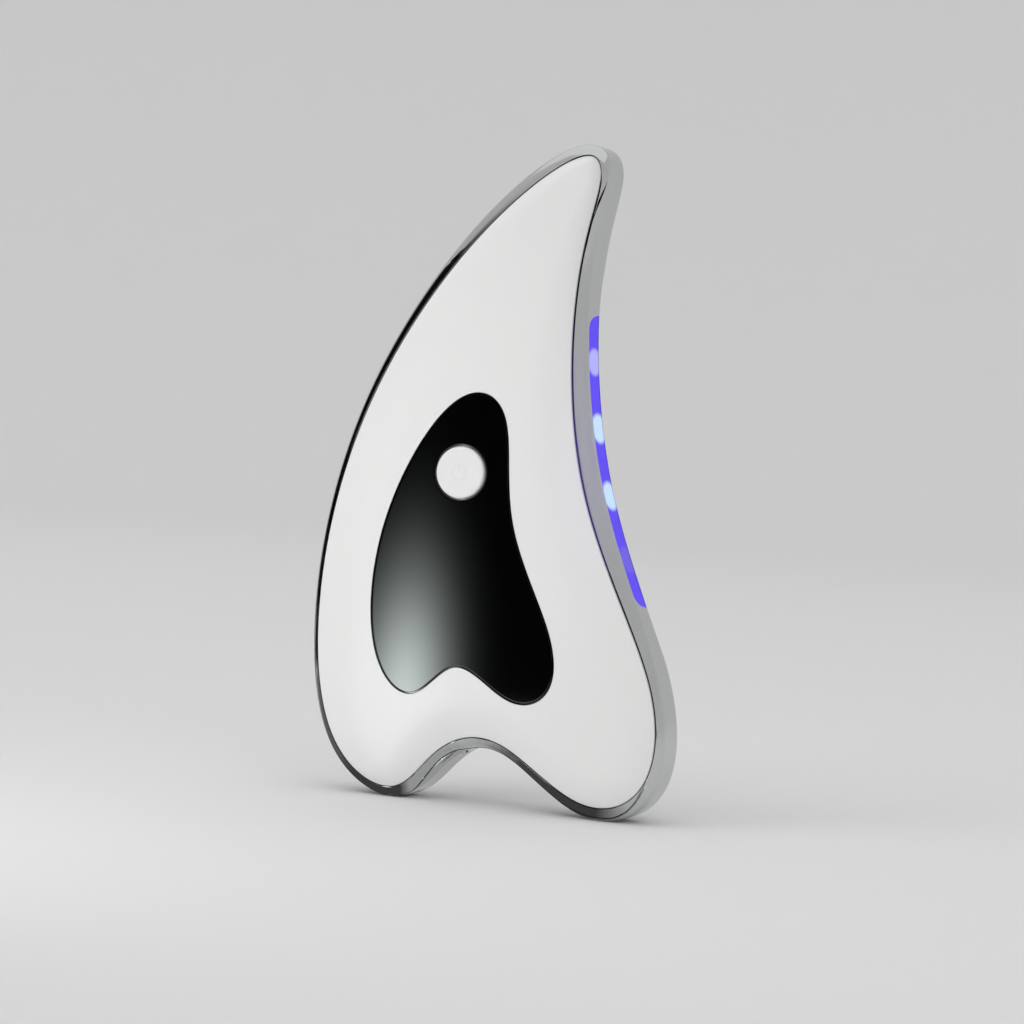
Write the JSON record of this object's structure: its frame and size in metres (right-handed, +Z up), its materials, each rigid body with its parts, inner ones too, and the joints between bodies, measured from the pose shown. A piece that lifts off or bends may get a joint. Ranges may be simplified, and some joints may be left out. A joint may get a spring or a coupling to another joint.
{
  "type": "microcurrent gua sha device",
  "caption": "Fin-shaped handheld face massager with a polished metal edge, a white gloss front, a black inlay with a round button, and a lit violet strip along its hollow side.",
  "frame": {"origin": "on the floor under the middle of the bounding box: the device stands on its two lobes", "axes": "+Z up to the tip, -Y out of the white front face, +X towards the hollow side with the light strip"},
  "size_m": [0.0678, 0.0154, 0.115],
  "materials": {
    "rim": "polished",
    "white": "gloss",
    "silver": "plated, polished",
    "inlay": "high gloss",
    "button": "satin",
    "seal": "matte",
    "light": "diffusing, lit from behind",
    "board": "solder mask",
    "chip": "matte",
    "led": "matte",
    "frame": "matte",
    "steel": "satin",
    "tin": "satin",
    "foam": "matte",
    "bronze": "bright",
    "magnet": "matte",
    "wire": "matte",
    "wire_red": "matte"
  },
  "bodies": {
    "body": {"electrode_rim": "rim", "front_cover": "white", "rear_cover": "silver", "inlay_panel": "inlay", "front_seal": "seal", "rear_seal": "seal", "light_guide": "light", "led_board": "board", "led_chips": "led", "light_leads": "wire", "switch_body": "chip", "switch_cover": "steel", "main_board": "board", "board_chips": "chip", "charge_socket": "steel", "socket_tongue": "chip", "inner_frame": "frame", "frame_screws": "steel", "battery": "tin", "battery_pad": "foam", "battery_leads": "wire_red", "motor_can": "steel", "motor_base": "bronze", "motor_magnet": "magnet", "motor_shaft": "steel", "motor_leads": "wire", "rim_contact": "bronze", "cover_contact": "bronze"},
    "button": {"power_button": "button"},
    "plunger": {"switch_plunger": "button"},
    "rotor": {"motor_rotor": "bronze", "rotor_weight": "steel"}
  },
  "joints": [
    {"name": "button_press", "type": "slide", "parent": "body", "child": "button", "axis": [0, 1, 0], "range_m": [0, 0.0003], "stiffness_N_per_m": 2000, "springref_m": -0.0003},
    {"name": "plunger_press", "type": "slide", "parent": "body", "child": "plunger", "axis": [0, 1, 0], "range_m": [0, 0.0003]},
    {"name": "motor_spin", "type": "hinge", "parent": "body", "child": "rotor", "pos_m": [-0.003, 0.00186, 0.076], "axis": [0, 1, 0], "continuous": true}
  ],
  "couplings": [
    {"joint": "plunger_press", "follows": "button_press", "ratio": 1}
  ]
}
